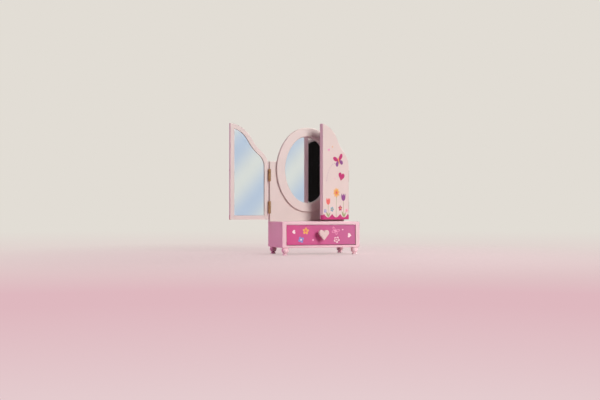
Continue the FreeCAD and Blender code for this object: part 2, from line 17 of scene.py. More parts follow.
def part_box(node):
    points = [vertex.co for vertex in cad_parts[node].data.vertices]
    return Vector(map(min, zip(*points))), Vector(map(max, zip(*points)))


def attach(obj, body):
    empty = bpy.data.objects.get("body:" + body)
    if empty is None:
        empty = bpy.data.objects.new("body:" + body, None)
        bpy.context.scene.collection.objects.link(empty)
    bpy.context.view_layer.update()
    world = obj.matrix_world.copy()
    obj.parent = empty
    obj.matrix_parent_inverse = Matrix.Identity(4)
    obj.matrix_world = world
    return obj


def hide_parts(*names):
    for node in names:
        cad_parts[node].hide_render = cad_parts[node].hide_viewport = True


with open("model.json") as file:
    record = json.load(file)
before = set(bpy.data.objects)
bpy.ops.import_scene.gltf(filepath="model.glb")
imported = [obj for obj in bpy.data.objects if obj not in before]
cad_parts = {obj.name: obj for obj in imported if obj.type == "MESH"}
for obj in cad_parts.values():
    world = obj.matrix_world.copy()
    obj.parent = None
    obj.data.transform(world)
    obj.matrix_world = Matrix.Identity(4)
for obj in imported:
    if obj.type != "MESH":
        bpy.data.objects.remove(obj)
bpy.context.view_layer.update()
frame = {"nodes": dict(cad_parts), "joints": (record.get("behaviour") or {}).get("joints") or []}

MM = 0.001
nodes = frame["nodes"]

# %% [markdown]
# Shader maths reads best as plain sums. One could place every Math node by hand, but a formula such as
# `1 - mask` then takes a dozen lines. Instead, a small class stands for a node's output and overloads
# the operators, so that an ordinary Python expression adds the nodes.

# %% Sockets that can be added
class Socket:
    """An output of a node. A sum with it adds a Math node to the same tree."""

    def __init__(self, tree, output):
        self.tree = tree
        self.output = output

    def math(self, operation, *terms):
        return self.tree.node("ShaderNodeMath", dict(enumerate(terms)), operation=operation)

    def __add__(self, other):
        return self.math("ADD", self, other)

    def __sub__(self, other):
        return self.math("SUBTRACT", self, other)

    def __rsub__(self, other):
        return self.math("SUBTRACT", other, self)

    def __mul__(self, other):
        return self.math("MULTIPLY", self, other)

    def __truediv__(self, other):
        return self.math("DIVIDE", self, other)

    def __abs__(self):
        return self.math("ABSOLUTE", self)

    __radd__ = __add__
    __rmul__ = __mul__

    def clamped(self):
        return self.tree.node("ShaderNodeClamp", {"Value": self})

    def above(self, threshold, gain):
        """Zero up to the threshold, then rising to one. A high gain makes the step sharp."""
        return ((self - threshold) * gain).clamped()

    def larger(self, other):
        return self.math("MAXIMUM", self, other)

    def sine(self):
        return self.math("SINE", self)

    def other_output(self, name):
        return Socket(self.tree, self.output.node.outputs[name])


print("helper:", Socket.__name__)

# %% [markdown]
# Every other node comes from one method, for materials, for the world and for geometry alike. It takes the
# node's type, then what goes into its sockets, then its settings.

# %% The one method that makes a node
class Tree:
    """A node tree and the one method that adds to it."""

    def __init__(self, tree):
        self.nodes = tree.nodes
        self.links = tree.links

    def node(self, kind, sockets=None, output=0, **settings):
        made = self.nodes.new(kind)
        for name, value in settings.items():
            setattr(made, name, value)
        for name, value in (sockets or {}).items():
            self.feed(made.inputs[name], value)
        return Socket(self, made.outputs[output]) if made.outputs else None

    def feed(self, socket, value):
        if isinstance(value, Socket):
            self.links.new(value.output, socket)
        elif isinstance(value, list):
            for each in value:
                self.feed(socket, each)
        else:
            socket.default_value = value

    def vector(self, **axes):
        return self.node("ShaderNodeCombineXYZ", axes)

    def mix(self, share, first, second):
        """A blend of two colours. The node keeps its colours in sockets 6 and 7, and its result in 2."""
        return self.node("ShaderNodeMix", {0: share, 6: first, 7: second}, output=2, data_type="RGBA")


print("helper:", Tree.__name__)

# %% [markdown]
# A finish is a material with one Principled shader. Its patterns are laid out on Object coordinates, which
# are metres in the part's own frame, so a scale of 900 means marks about a millimetre across on every
# piece. Only colour, roughness and bump vary over a surface, and plain numbers sit on the shader itself.

# %% A finish and its patterns
# How deep each kind of mark is, in metres.
PEEL_DEPTH, RING_DEPTH, WAVE_DEPTH = 0.00004, 0.00005, 0.000004
SCRATCH_DEPTH, GRAIN_DEPTH, TOOTH_DEPTH = 0.00002, 0.00006, 0.00002


def srgb(red, green, blue):
    """A colour as a paint chart gives it, from 0 to 255, as linear light for a shader."""
    shares = (red / 255, green / 255, blue / 255)
    return tuple(s / 12.92 if s <= 0.04045 else ((s + 0.055) / 1.055) ** 2.4 for s in shares) + (1.0,)


def toned(colour, share):
    """The same colour with its light scaled: below one is deeper, above one is paler."""
    return tuple(channel * share for channel in colour[:3]) + (1.0,)


class Finish(Tree):
    """A material whose patterns are measured in metres on the object."""

    def __init__(self, name, **constants):
        self.material = bpy.data.materials.new(name)
        self.material.use_nodes = True
        super().__init__(self.material.node_tree)
        self.shader = self.nodes["Principled BSDF"]
        for socket, value in constants.items():
            self.shader.inputs[socket.replace("_", " ")].default_value = value
        self.place = self.node("ShaderNodeTexCoord", output="Object")

    def noise(self, scale, detail=2.0, place=None):
        sockets = {"Vector": place or self.place, "Scale": scale, "Detail": detail}
        return self.node("ShaderNodeTexNoise", sockets)

    def stretched(self, x, y, z):
        return self.node("ShaderNodeMapping", {"Vector": self.place, "Scale": (x, y, z)})

    def axes(self, place=None):
        apart = self.node("ShaderNodeSeparateXYZ", {"Vector": place or self.place})
        return [apart.other_output(axis) for axis in "XYZ"]

    def surface(self, colour, roughness, height, depth):
        """Ends the finish: colour, roughness, and a bump whose full height is given in metres."""
        bump = self.node("ShaderNodeBump", {"Height": height, "Distance": depth, "Strength": 1.0})
        self.feed(self.shader.inputs["Base Color"], colour)
        self.feed(self.shader.inputs["Roughness"], roughness)
        self.feed(self.shader.inputs["Normal"], bump)
        return self.material

    def shown_where(self, share):
        """Shows the finish where the share is one, and lets everything through where it is zero."""
        clear = self.node("ShaderNodeBsdfTransparent")
        own = Socket(self, self.shader.outputs[0])
        both = self.node("ShaderNodeMixShader", {0: share, 1: clear, 2: own})
        self.feed(self.nodes["Material Output"].inputs["Surface"], both)


print("finish helpers ready, a pale pink is", [round(c, 3) for c in srgb(232, 203, 199)])

# %% [markdown]
# The doors rest open, so their pattern can't use the part's upright axes. A door turns about its hinge
# pin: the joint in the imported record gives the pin's place, and the closed end of its range gives how far
# it stands open. With these, any point can be moved between the closed door, where a layout is easy to
# measure, and the door as it rests.

# %% Where each door is, closed and at rest
def box_of(points):
    """The lowest and the highest corner of a box round some points."""
    points = list(points)
    low = Vector(min(p[axis] for p in points) for axis in range(3))
    high = Vector(max(p[axis] for p in points) for axis in range(3))
    return low, high


class Door:
    """A door's hinge: the way from its closed place, measured from the pin, to its place at rest."""

    def __init__(self, side):
        self.side = side
        joint = next(j for j in frame["joints"] if j["child"] == f"{side}_door")
        self.pin = Vector((joint["pos_m"][0], joint["pos_m"][1], 0))
        self.sweep = math.radians(-joint["axis"][2] * joint["range_deg"][0])
        self.to_rest = Matrix.Translation(self.pin) @ Matrix.Rotation(self.sweep, 4, "Z")
        to_closed = self.to_rest.inverted()
        self.low, self.high = box_of(to_closed @ v.co for v in nodes[f"{side}_door"].data.vertices)
        # One where the closed door runs to the right of its pin, and minus one where it runs to the left.
        self.hand = 1 if self.high.x > -self.low.x else -1
        self.free_edge = self.high.x if self.hand > 0 else self.low.x

    def as_closed(self, finish):
        """The places on a finish as they would be with the door closed, measured from the pin."""
        sockets = {"Vector": finish.place, "Location": self.pin, "Rotation": (0, 0, self.sweep)}
        return finish.node("ShaderNodeMapping", sockets, vector_type="TEXTURE")


doors = {side: Door(side) for side in ("left", "right")}
for door in doors.values():
    print(door.side, "door stands open by", round(math.degrees(door.sweep), 1), "degrees")

# %% [markdown]
# Pale pink satin paint covers the case, the panel, the feet and both doors. It is sprayed in thin coats,
# so the colour drifts a little over centimetres, the surface has the fine orange peel of a spray gun, a
# few dust nibs are caught in it, and the sharp arrises, where paint pulls thin, show a trace of primer. An
# image texture could hold all of this, but noise in metres needs no unwrapping and keeps its true scale.

# %% Sprayed paint
THIN_REACH = 0.0011  # how far in from an edge the paint may be thin
PRIMER = srgb(238, 226, 216)


def closeness_to_edges(finish, place, low, high):
    """One on an edge of a box, and zero where paint is no longer thin."""
    near = []
    for axis, least, most in zip(finish.axes(place), low, high):
        middle, half = (least + most) / 2, (most - least) / 2
        depth = half - abs(axis - middle)
        near.append((1 - depth / THIN_REACH).clamped())
    x, y, z = near
    return (x * y).larger(x * z).larger(y * z)


def sprayed(name, colour, box=None, place=None, gloss=0.36):
    """Satin paint with drift, orange peel, nibs and, where a box is given, thin paint on its edges."""
    paint = Finish(name, Specular_IOR_Level=0.35)
    drift = paint.noise(34, 2)
    peel = paint.noise(780, 2)
    nib = paint.noise(300, 1).above(0.73, 14)
    tone = drift * 0.75 + peel * 0.25
    body = paint.mix(tone, toned(colour, 0.93), toned(colour, 1.05))
    rough = gloss + drift * 0.10 + peel * 0.08
    if box:
        local = place(paint) if place else None
        closeness = closeness_to_edges(paint, local, *box)
        broken = paint.noise(240, 3)
        thin = (closeness + broken * 0.9).above(1.12, 5)
        body = paint.mix(thin * 0.55, body, PRIMER)
        rough = rough + thin * 0.18
    return paint, body, rough, peel * 0.7 + nib * 0.6


def plain_paint(name, colour, box=None, gloss=0.36):
    paint, *layers = sprayed(name, colour, box, gloss=gloss)
    return paint.surface(*layers, PEEL_DEPTH)


PALE_PINK = srgb(226, 210, 203)
ROSY_PINK = srgb(233, 197, 203)
case_boards = ("case_top", "case_bottom", "case_left_side", "case_right_side", "case_back")
case_box = box_of(corner for name in case_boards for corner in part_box(name))
case_paint = plain_paint("case_paint", ROSY_PINK, case_box)
panel_paint = plain_paint("panel_paint", PALE_PINK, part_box("centre_panel"))
print("case paint on", len(case_boards), "boards, panel paint on the panel and the ring")

# %% [markdown]
# The doors wear the same pink, and along the foot of each outer face a hot pink hem with a scalloped upper
# edge. The hem could be a strip of mesh, but it runs on round the board's edges, so it is painted by the
# shader: the size of a sine along the door's width, taken off the hem's height, gives the row of scallops.
# The painter masks the inner face and the recess that the mirror lies in, and so does the shader.

# %% Door paint with its scalloped hem
HOT_PINK = srgb(196, 62, 122)
HEM_HEIGHT, SCALLOP_DEPTH, SCALLOP_WIDTH = 0.0098, 0.0062, 0.0207
FIRST_PEAK = 0.0024  # from the free edge to the first peak
MASKED_EDGE = 0.00005  # how soft the edge of a masked coat is
EDGE_ROUND = 0.0009  # how far the rounded edge of the board reaches in
FACE_SKIN = 0.0020  # how far in from the outer face the hem may lie
RECESS_FOOT = 0.0068  # just under the foot of the mirror's recess


def masked(distance):
    """One where a distance is above zero, and zero where it is below."""
    return distance.above(0, 1 / MASKED_EDGE)


def hem_on(door, across, through, up):
    """One on the hem, and zero above the scallops, on the inner face and in the mirror's recess."""
    scallop = abs(((across - door.free_edge + door.hand * FIRST_PEAK) * (math.pi / SCALLOP_WIDTH)).sine())
    top = (door.low.z + HEM_HEIGHT) - scallop * SCALLOP_DEPTH
    middle, half = (door.low.x + door.high.x) / 2, (door.high.x - door.low.x) / 2
    off_inner_face = masked(door.high.y - EDGE_ROUND - through)
    skin = masked(door.low.y + FACE_SKIN - through)
    rim = masked(abs(across - middle) - half + EDGE_ROUND)
    below_recess = masked(door.low.z + RECESS_FOOT - up)
    return masked(top - up) * off_inner_face * skin.larger(rim).larger(below_recess)


def door_paint(door):
    box = (door.low, door.high)
    paint, body, rough, height = sprayed(f"{door.side}_door_paint", PALE_PINK, box, door.as_closed)
    hem = hem_on(door, *paint.axes(door.as_closed(paint)))
    # The second coat is a little glossier than the first, and stands on it.
    body = paint.mix(hem, body, HOT_PINK)
    return paint.surface(body, rough - hem * 0.04, height + hem * 0.5, PEEL_DEPTH)


door_paints = {side: door_paint(door) for side, door in doors.items()}
print("hem with scallops", 1000 * SCALLOP_WIDTH, "mm wide, and", 1000 * HEM_HEIGHT, "mm high at a peak")

# %% [markdown]
# The feet and the small door knob are turned on a lathe before they are painted. The tool leaves faint
# rings, which still show through the paint. They could be cut into the mesh, but they are finer than any
# sensible mesh, so they are a wave in the bump along the axis of turning: upright for a foot, and straight
# out from its door for the knob.

# %% Paint on turned pieces
def turned_paint(name, colour, axis, pitch, place=None):
    paint, body, rough, height = sprayed(name, colour)
    along = paint.axes(place(paint) if place else None)["XYZ".index(axis)]
    rings = (along * (2 * math.pi / pitch)).sine()
    wobble = paint.noise(160, 2)
    return paint.surface(body, rough, height * 0.6 + rings * (0.15 + wobble * 0.3), RING_DEPTH)


foot_paint = turned_paint("foot_paint", srgb(240, 208, 212), "Z", 0.0007)
latch_paint = turned_paint("latch_paint", ROSY_PINK, "Y", 0.0005, doors["left"].as_closed)
print("turned paints:", foot_paint.name, latch_paint.name)

# %% [markdown]
# The drawer's front is a hot pink, a coat of its own with a slightly higher gloss. Towards the right its
# colour is painted paler and greyer: a painted sheen, as if light glanced off it from the right. The heart
# that opens it is cut from board and painted a creamier pink than the rest.

# %% Drawer paint with a painted sheen, and heart paint
# The second pink is a painted sheen, the hot pink as it would look with light glancing off it, and the
# share says how far it goes at the right edge.
DRAWER_PINK, PAINTED_SHEEN_PINK, PAINTED_SHEEN_SHARE = srgb(205, 74, 133), srgb(188, 106, 148), 0.8
front_low, front_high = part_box("drawer_front")
paint, body, rough, height = sprayed("drawer_paint", DRAWER_PINK, (front_low, front_high), gloss=0.3)
# Painted sheen: the colour turns paler and greyer from the left edge to the right, as if lit from the
# right.
across = (paint.axes()[0] - front_low.x) / (front_high.x - front_low.x)
body = paint.mix(across * PAINTED_SHEEN_SHARE, body, PAINTED_SHEEN_PINK)
drawer_paint = paint.surface(body, rough, height, PEEL_DEPTH)
heart_paint = plain_paint("heart_paint", srgb(222, 198, 192), gloss=0.32)
print("drawer:", drawer_paint.name, " heart:", heart_paint.name)

# %% [markdown]
# The three mirrors are thin silvered glass. A sheet of clear glass over a metal would give two surfaces to
# trace for the same look, so a mirror here is a metal with almost no roughness. What makes it look real is
# what disturbs it: a wipe mark, a little dust, and a slight waviness of the cheap float glass.

# %% Silvered glass
def silvered():
    glass = Finish("silvered_glass", Metallic=1.0)
    haze = glass.noise(26, 3)
    dust = glass.noise(1500, 1).above(0.74, 20)
    wiped = glass.noise(60, 2, glass.stretched(1, 1, 0.15))
    colour = glass.mix(haze * 0.5 + dust * 0.3, srgb(240, 243, 244), srgb(226, 231, 233))
    rough = 0.012 + wiped * 0.02 + dust * 0.2
    return glass.surface(colour, rough, haze, WAVE_DEPTH)


mirror_glass = silvered()
print("mirror finish:", mirror_glass.name)

# %% [markdown]
# The hinges and their screws are plain pressed brass, dulled by handling, and the hidden screws are zinc
# plated. A clean metal would be one colour and one roughness. Here both have a patchy tarnish, which is
# darker and rougher, over fine drawing lines.

# %% Brass and zinc
def dulled_metal(name, bright, dull, lines):
    """Lines holds the stretch on each axis: small along the drawing lines."""
    metal = Finish(name, Metallic=1.0)
    tarnish = metal.noise(260, 4).above(0.32, 1.9)
    drawn = metal.noise(2600, 1, metal.stretched(*lines))
    colour = metal.mix(tarnish, bright, dull)
    return metal.surface(colour, 0.24 + tarnish * 0.24 + drawn * 0.1, drawn, SCRATCH_DEPTH)


brass = dulled_metal("dulled_brass", srgb(174, 135, 94), srgb(92, 65, 54), (1, 1, 0.08))
zinc = dulled_metal("zinc_plate", srgb(192, 194, 196), srgb(138, 141, 146), (1, 0.08, 1))
print("metals:", brass.name, zinc.name)

# %% [markdown]
# Inside, the drawer is bare. Its sides and back are sanded softwood with the grain along their length, and
# the floor is thin plywood. Wood grain is noise stretched along the grain: broad bands for the growth
# rings, fine streaks for the fibres, and short dark flecks for the pores. The board behind the oval mirror
# is hardboard, pressed fibre with no grain, only mottling and tiny dark flakes.

# %% Bare wood and hardboard
def sanded_wood(name, along, pale, dark):
    """Along holds the stretch on each axis: small along the grain."""
    wood = Finish(name)
    rings = wood.noise(140, 2, wood.stretched(*along))
    fibres = wood.noise(900, 3, wood.stretched(*along))
    pores = wood.noise(1500, 1, wood.stretched(*along)).above(0.66, 9)
    band = rings.above(0.35, 2.6)
    colour = wood.mix(band * 0.6 + fibres * 0.4, pale, dark)
    colour = wood.mix(pores * 0.5, colour, toned(dark, 0.6))
    return wood.surface(colour, 0.62 + fibres * 0.16, fibres * 0.6 - pores * 0.5, GRAIN_DEPTH)


def pressed_fibre():
    board = Finish("hardboard_brown")
    mottle = board.noise(90, 4)
    flakes = board.noise(1300, 2).above(0.62, 8)
    colour = board.mix(mottle, srgb(122, 84, 54), srgb(154, 112, 76))
    colour = board.mix(flakes * 0.6, colour, srgb(88, 58, 38))
    return board.surface(colour, 0.5 + mottle * 0.2, mottle * 0.5 + flakes * 0.4, GRAIN_DEPTH)


pine = (srgb(222, 191, 148), srgb(196, 156, 108))
side_wood = sanded_wood("side_wood", (1, 0.06, 1), *pine)
back_wood = sanded_wood("back_wood", (0.06, 1, 1), *pine)
floor_ply = sanded_wood("floor_ply", (0.05, 1, 1), srgb(226, 200, 160), srgb(204, 170, 126))
hardboard = pressed_fibre()
print("woods:", side_wood.name, back_wood.name, floor_ply.name, hardboard.name)

# %% [markdown]
# A CAD node keeps its mesh and only gets a better material in its slot. Pieces of a kind share a word in
# their names, and the rest are listed one by one. The cell stops if a node is left out.

# %% Give every CAD node its finish
by_word = {"_mirror": mirror_glass, "hinge": brass, "foot_": foot_paint}
by_name = {
    **{name: case_paint for name in case_boards},
    "centre_panel": panel_paint,
    "oval_frame": panel_paint,
    "left_door": door_paints["left"],
    "right_door": door_paints["right"],
    "left_door_knob": latch_paint,
    "drawer_front": drawer_paint,
    "heart_knob": heart_paint,
    "drawer_left_side": side_wood,
    "drawer_right_side": side_wood,
    "drawer_back": back_wood,
    "drawer_bottom": floor_ply,
    "mirror_backing": hardboard,
    "panel_screws": zinc,
    "knob_screw": zinc,
}
for name, thing in nodes.items():
    shared = [finish for word, finish in by_word.items() if word in name]
    thing.data.materials.clear()
    thing.data.materials.append(shared[0] if shared else by_name[name])
print("finishes given to", len(nodes), "nodes")

# %% [markdown]
# Printed decoration lies on three flat faces: the drawer's front and the outer face of each door. A flat
# face is an origin and three directions, so a motif can be drawn on paper, in millimetres, and then carried
# to the wood. The left door's drawing is the right one's mirror image, which also turns a mesh inside out,
# so its faces are flipped back.

# %% Flat faces that carry prints
class PrintFace:
    """A flat face: where a drawing's zero lies, which way its x and y run, and which way it looks."""

    def __init__(self, body, origin, right, up, out):
        self.body = body
        self.origin, self.right, self.up, self.out = origin, right, up, out
        self.mirrored = right.cross(up).dot(out) < 0
        self.inked = {}

    def carried(self, points, x, y, turn, lift):
        """Points drawn in millimetres about a motif's middle, moved to their place on the face."""
        cosine, sine = math.cos(math.radians(turn)), math.sin(math.radians(turn))
        for point in points:
            across = (x + point.x * cosine - point.y * sine) * MM
            above = (y + point.x * sine + point.y * cosine) * MM
            out = (point.z + lift) * MM
            yield self.origin + self.right * across + self.up * above + self.out * out


RIGHT, FORWARD, UP = Vector((1, 0, 0)), Vector((0, -1, 0)), Vector((0, 0, 1))


def door_face(door):
    """Zero is the free edge's lower corner, and x runs from there to the hinge."""
    turn = door.to_rest.to_3x3()
    origin = door.to_rest @ Vector((door.free_edge, door.low.y, door.low.z))
    return PrintFace(f"{door.side}_door", origin, turn @ (RIGHT * -door.hand), UP, turn @ FORWARD)


drawer_middle = Vector((0, front_low.y, (front_low.z + front_high.z) / 2))
drawer_face = PrintFace("drawer", drawer_middle, RIGHT, UP, FORWARD)
door_faces = {side: door_face(door) for side, door in doors.items()}
print("faces:", drawer_face.body, *(face.body for face in door_faces.values()))

# %% [markdown]
# The printing inks are opaque and a little glossier than the paint below. Ink is never quite even: it
# pools and thins by a few percent, and the screen leaves a fine tooth.

# %% Printing inks
def ink(name, colour):
    print_ink = Finish(f"ink_{name}", Specular_IOR_Level=0.45)
    pool = print_ink.noise(220, 2)
    tooth = print_ink.noise(2400, 1)
    body = print_ink.mix(pool * 0.7 + tooth * 0.3, toned(colour, 0.9), toned(colour, 1.08))
    return print_ink.surface(body, 0.3 + tooth * 0.14, pool * 0.5 + tooth * 0.5, TOOTH_DEPTH)


INK_COLOURS = {
    "white": (246, 226, 226),
    "blush": (232, 158, 190),
    "yellow": (240, 178, 92),
    "coral": (232, 110, 104),
    "magenta": (190, 48, 112),
    "violet": (142, 74, 140),
    "blue": (136, 144, 204),
    "teal": (112, 168, 186),
    "green": (164, 176, 122),
    "ground": (203, 94, 141),
}
inks = {name: ink(name, srgb(*colour)) for name, colour in INK_COLOURS.items()}
print("inks:", ", ".join(inks))

# %% [markdown]
# Petals, dots and screws repeat, which is work for Geometry Nodes. Every tree here starts with named
# inputs and ends in the same way, and its result is taken off the evaluated object as a plain mesh. The
# object and its modifier are only a carrier, and they are removed again.

# %% How a geometry tree starts, ends and gives its mesh
def tree_with_inputs(name, inputs):
    """A new geometry tree, with its inputs by name, and the identifiers that a modifier sets them by."""
    group = bpy.data.node_groups.new(name, "GeometryNodeTree")
    kept = {}
    for label, kind in inputs.items():
        made = group.interface.new_socket(label, in_out="INPUT", socket_type=f"NodeSocket{kind}")
        kept[label] = made.identifier
    group.interface.new_socket("Geometry", in_out="OUTPUT", socket_type="NodeSocketGeometry")
    tree = Tree(group)
    given = tree.node("NodeGroupInput")
    return group, tree, {label: given.other_output(label) for label in inputs}, kept


def end_tree(tree, geometry, material):
    """Every tree ends the same way: instances made real, a material set, and out."""
    real = tree.node("GeometryNodeRealizeInstances", {"Geometry": geometry})
    painted = tree.node("GeometryNodeSetMaterial", {"Geometry": real, "Material": material})
    tree.node("NodeGroupOutput", {"Geometry": painted})


def placed(name, data):
    """A new object in the scene, at the origin."""
    thing = bpy.data.objects.new(name, data)
    bpy.context.scene.collection.objects.link(thing)
    return thing


def grown(group, identifiers, values, start=None):
    """The plain mesh that a geometry tree gives for these values."""
    carrier = placed("carrier", start or bpy.data.meshes.new("carrier"))
    modifier = carrier.modifiers.new("tree", "NODES")
    modifier.node_group = group
    for label, value in values.items():
        modifier[identifiers[label]] = value
    bpy.context.view_layer.update()
    evaluated = carrier.evaluated_get(bpy.context.evaluated_depsgraph_get())
    mesh = bpy.data.meshes.new_from_object(evaluated)
    carrier.modifiers.clear()
    bpy.data.objects.remove(carrier)
    return mesh


print("geometry helpers ready")

# %% [markdown]
# Flowers repeat one petal round a centre: a disc is squeezed into a petal, set on the points of a ring and
# turned by its place on it. The tree's inputs are the number of petals and their sizes, so one tree makes
# every flower. A flower could also be typed in as an outline, but then each new petal count would need a
# new drawing.

# %% The flower tree
def flower_tree():
    group, tree, size, kept = tree_with_inputs("flower_petals", {
        "Petals": "Int", "Ring": "Float", "Length": "Float", "Width": "Float", "Ink": "Material",
    })
    disc = tree.node("GeometryNodeMeshCircle", {"Vertices": 22, "Radius": 0.5}, fill_type="NGON")
    scale = tree.vector(X=size["Length"], Y=size["Width"], Z=1.0)
    petal = tree.node("GeometryNodeTransform", {"Geometry": disc, "Scale": scale})
    ring = tree.node("GeometryNodeMeshCircle", {"Vertices": size["Petals"], "Radius": size["Ring"]})
    place = tree.node("GeometryNodeInputIndex")
    turn = tree.vector(Z=place * (2 * math.pi) / size["Petals"])
    petals = tree.node("GeometryNodeInstanceOnPoints", {
        "Points": ring, "Instance": petal, "Rotation": turn,
    })
    end_tree(tree, petals, size["Ink"])
    return group, kept


flower_group, flower_inputs = flower_tree()
print("flower tree with", len(flower_group.nodes), "nodes and inputs", list(flower_inputs))

# %% [markdown]
# A print is a thin solid: a tenth of a millimetre thick, with half of it sunk in the paint, so that it has
# an edge of its own and never flickers against the board. A decal in the door's own shader would have no
# thickness. All that a face carries in one ink becomes one piece, as one pass of the screen prints it.

# %% From flat shapes to a print
PRINT_HALF = 0.05  # mm above the face, and as much below it
LAYER_STEP = 0.03  # mm that one layer lies above the last


def thickened(mesh):
    """Gives flat shapes a skin below and a wall round them, so that every print is a closed solid."""
    corners, faces = [], []
    for face in mesh.polygons:
        loop = [mesh.vertices[index].co for index in face.vertices]
        if face.normal.z < 0:
            loop.reverse()
        count, first = len(loop), len(corners)
        for height in (PRINT_HALF, -PRINT_HALF):
            corners += [Vector((p.x, p.y, height)) for p in loop]
        upper = list(range(first, first + count))
        lower = [index + count for index in upper]
        faces.append(upper)
        faces.append(lower[::-1])
        for step in range(count):
            after = (step + 1) % count
            faces.append((upper[step], lower[step], lower[after], upper[after]))
    return corners, faces


def print_on(face, colour, mesh, x, y, turn=0.0, layer=0):
    """Adds one mesh to what a face carries in this ink."""
    corners, faces = face.inked.setdefault(colour, ([], []))
    new_corners, new_faces = thickened(mesh)
    first = len(corners)
    corners.extend(face.carried(new_corners, x, y, turn, layer * LAYER_STEP))
    for loop in new_faces:
        loop = [first + index for index in loop]
        faces.append(loop[::-1] if face.mirrored else loop)


def press(face):
    """Makes one piece of all that a face carries in an ink, and lets it ride on the face's body."""
    for colour, (corners, faces) in face.inked.items():
        mesh = bpy.data.meshes.new(f"{face.body}_{colour}_print")
        mesh.from_pydata(corners, [], faces)
        mesh.materials.append(inks[colour])
        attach(placed(mesh.name, mesh), face.body)
    print(face.body, "carries prints in", ", ".join(face.inked))


print("prints are", 2 * PRINT_HALF, "mm thick, half of it sunk in the paint")

# %% [markdown]
# The other motifs are outlines. A heart has a well-known formula, a dot is a circle, and leaves, wings and
# tulips are a few points joined by a smooth closed curve. Tracing them point by point would also do, but a
# formula scales to any size without corners.

# %% Motif outlines, in millimetres
HEART_WIDTH, HEART_LIFT = 32, 2.5  # how wide the heart's formula is, and what brings its middle to zero


def heart(width, steps=40):
    points = []
    for step in range(steps):
        t = 2 * math.pi * step / steps
        x = 16 * math.sin(t) ** 3
        y = 13 * math.cos(t) - 5 * math.cos(2 * t) - 2 * math.cos(3 * t) - math.cos(4 * t) + HEART_LIFT
        points.append((x * width / HEART_WIDTH, y * width / HEART_WIDTH))
    return points[::-1]


def dot(radius, corners=24):
    angles = [2 * math.pi * step / corners for step in range(corners)]
    return [(radius * math.cos(a), radius * math.sin(a)) for a in angles]


def smooth(points, scale=1.0, steps=6):
    """A closed curve through the points, in their order."""
    curve = []
    count = len(points)
    for index in range(count):
        before, start, end, after = (Vector(points[(index + k) % count]) for k in (-1, 0, 1, 2))
        for step in range(steps):
            t = step / steps
            place = 0.5 * (
                2 * start
                + (end - before) * t
                + (2 * before - 5 * start + 4 * end - after) * t ** 2
                + (3 * start - before - 3 * end + after) * t ** 3
            )
            curve.append((place.x * scale, place.y * scale))
    return curve


def inset(points, share):
    """The same outline, drawn in towards its own middle."""
    middle_x = sum(x for x, y in points) / len(points)
    middle_y = sum(y for x, y in points) / len(points)
    return [(middle_x + (x - middle_x) * share, middle_y + (y - middle_y) * share) for x, y in points]


UPPER_WING = [(0.4, 0.3), (2.6, 4.6), (6.6, 7.2), (9.4, 6.2), (8.8, 2.9), (4.6, 0.2)]
LOWER_WING = [(0.4, -0.2), (4.4, -0.6), (7.2, -2.6), (6.6, -6.0), (3.6, -6.4), (1.2, -3.2)]
BUTTERFLY_BODY = [(0, 4.2), (-0.75, 2.4), (-0.6, -4.2), (0, -5.2), (0.6, -4.2), (0.75, 2.4)]
TULIP = [
    (0, -5), (3.6, -2.6), (4.2, 2.6), (3.4, 5), (1.7, 2.4),
    (0, 5.2), (-1.7, 2.4), (-3.4, 5), (-4.2, 2.6), (-3.6, -2.6),
]
LEAF = [(-1.5, -1.2), (-1.1, 2.6), (0, 5.2), (1.1, 2.6), (1.5, -1.2), (0, -5)]
print("outlines: heart, dot, wings, tulip and leaf")

# %% [markdown]
# Motifs are put together from these shapes: a flower with its eye, a butterfly of four wings and a body,
# and a tulip on a stem with two leaves. Each could be drawn as one outline with holes, but a printer lays
# one ink over another, so a small step in height keeps an eye above its petals.

# %% Whole motifs
STEM_HALF = 0.45  # half of a stem's width, in mm


def put_shape(face, colour, points, x, y, turn=0.0, layer=0):
    """Prints one outline."""
    mesh = bpy.data.meshes.new("outline")
    mesh.from_pydata([(px, py, 0) for px, py in points], [], [tuple(range(len(points)))])
    mesh.update()
    print_on(face, colour, mesh, x, y, turn, layer)


def put_flower(face, x, y, reach, petals, colour, eye, turn=0.0, layer=0):
    """Petals fill about three quarters of the ring, and are never wider than they are long."""
    length = reach * 0.95
    width = min(length, 1.5 * math.pi * reach / petals * 0.72)
    values = {
        "Petals": petals, "Ring": reach * 0.55, "Length": length, "Width": width, "Ink": inks[colour],
    }
    print_on(face, colour, grown(flower_group, flower_inputs, values), x, y, turn, layer)
    put_shape(face, eye, dot(reach * 0.3), x, y, 0.0, layer + 2)


def put_butterfly(face, x, y, scale, upper, lower, body, turn=0.0, inner=None):
    for wing, colour in ((UPPER_WING, upper), (LOWER_WING, lower)):
        right = smooth(wing[::-1], scale)
        left = [(-across, above) for across, above in reversed(right)]
        for shape in (right, left):
            put_shape(face, colour, shape, x, y, turn)
            if inner:
                put_shape(face, inner, inset(shape, 0.66), x, y, turn, 1)
    put_shape(face, body, smooth(BUTTERFLY_BODY, scale), x, y, turn, 2)


def put_stem(face, x, foot, top, lean):
    corners = [(-STEM_HALF, foot), (STEM_HALF, foot), (STEM_HALF + lean, top), (-STEM_HALF + lean, top)]
    put_shape(face, "green", corners, x, 0)


def put_tulip(face, x, foot, top, scale, colour, lean=0.0):
    put_stem(face, x, foot, top, lean)
    put_shape(face, "green", smooth(LEAF, scale * 0.9), x - 2.4, foot + 5.4, 28)
    put_shape(face, "green", smooth(LEAF, scale * 0.8), x + 2.4, foot + 4.4, -30)
    put_shape(face, colour, smooth(TULIP, scale), x + lean, top + 3.4 * scale, 0, 2)


print("motifs: flower, butterfly, tulip")

# %% [markdown]
# The drawer's front carries a loose scatter of hearts, flowers, a butterfly and dots, in pale and bright
# inks on the hot pink. A random scatter could collide with the knob, so each motif has its own place, in
# millimetres from the middle of the front. An outlined motif is a pale shape with a smaller one in the
# drawer's own pink on it.

